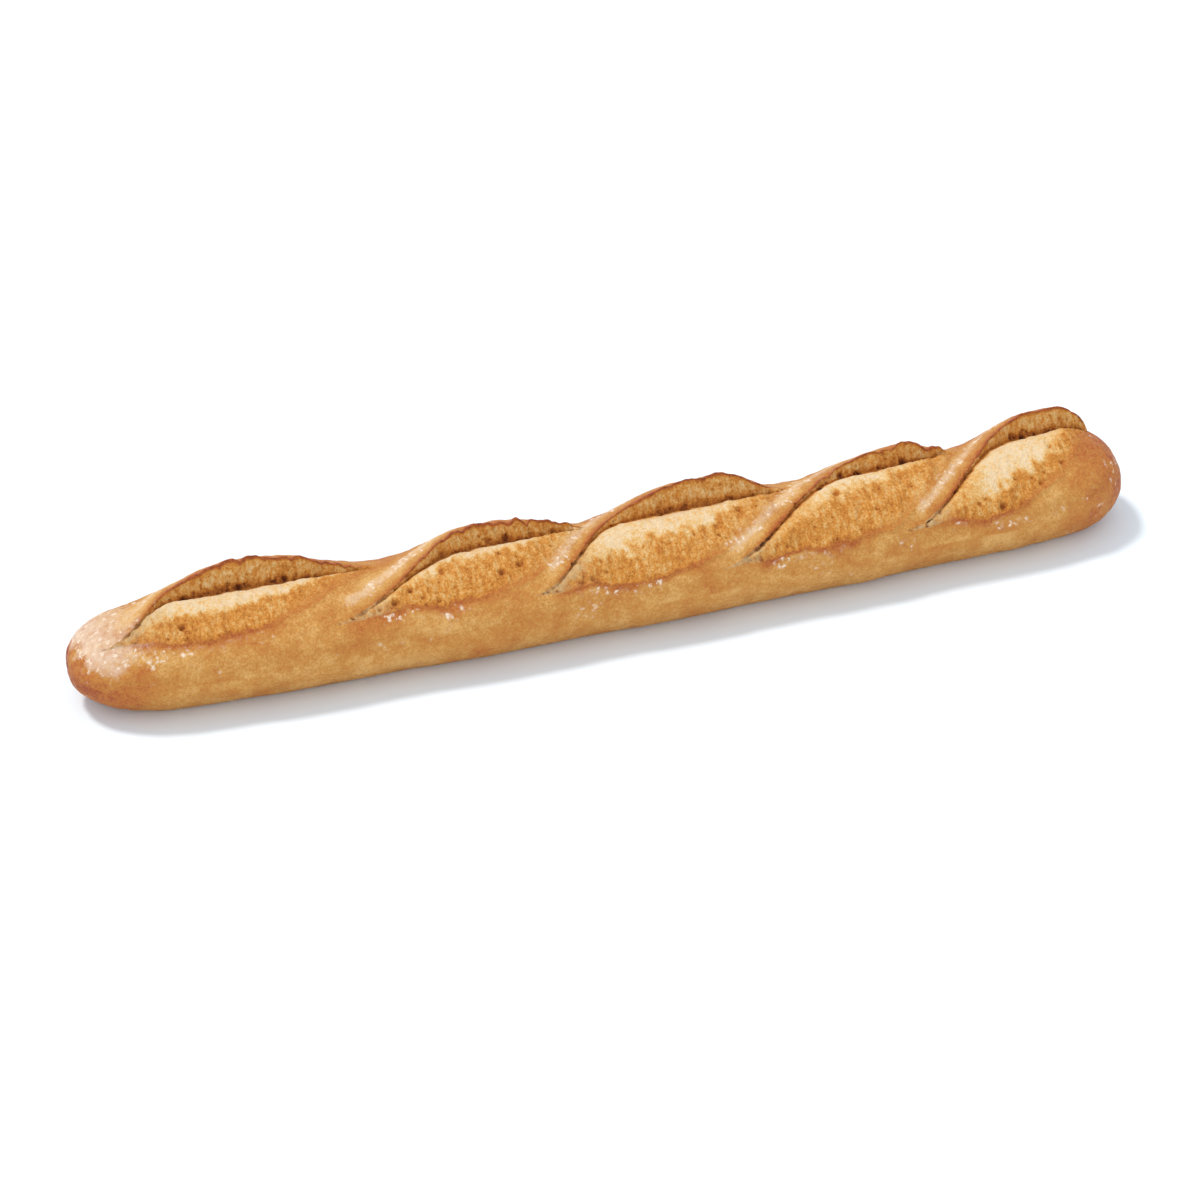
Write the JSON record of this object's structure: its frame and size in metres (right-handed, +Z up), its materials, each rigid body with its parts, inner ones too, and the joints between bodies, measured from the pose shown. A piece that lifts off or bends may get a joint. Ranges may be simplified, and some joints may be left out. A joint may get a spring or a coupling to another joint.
{
  "type": "baguette",
  "caption": "Whole long loaf of crusty white bread, with slanting opened scores along its crown and a flat base to lie on.",
  "frame": {"origin": "middle of the loaf's box in plan, at the level of its flat base", "axes": "+X along the loaf, +Z up, and -Y out of the side that the opened scores face"},
  "size_m": [0.56, 0.0752, 0.06],
  "materials": {
    "baked_crust": "dry matt golden-brown crust"
  },
  "bodies": {
    "root": {"loaf": "baked_crust"}
  },
  "joints": []
}
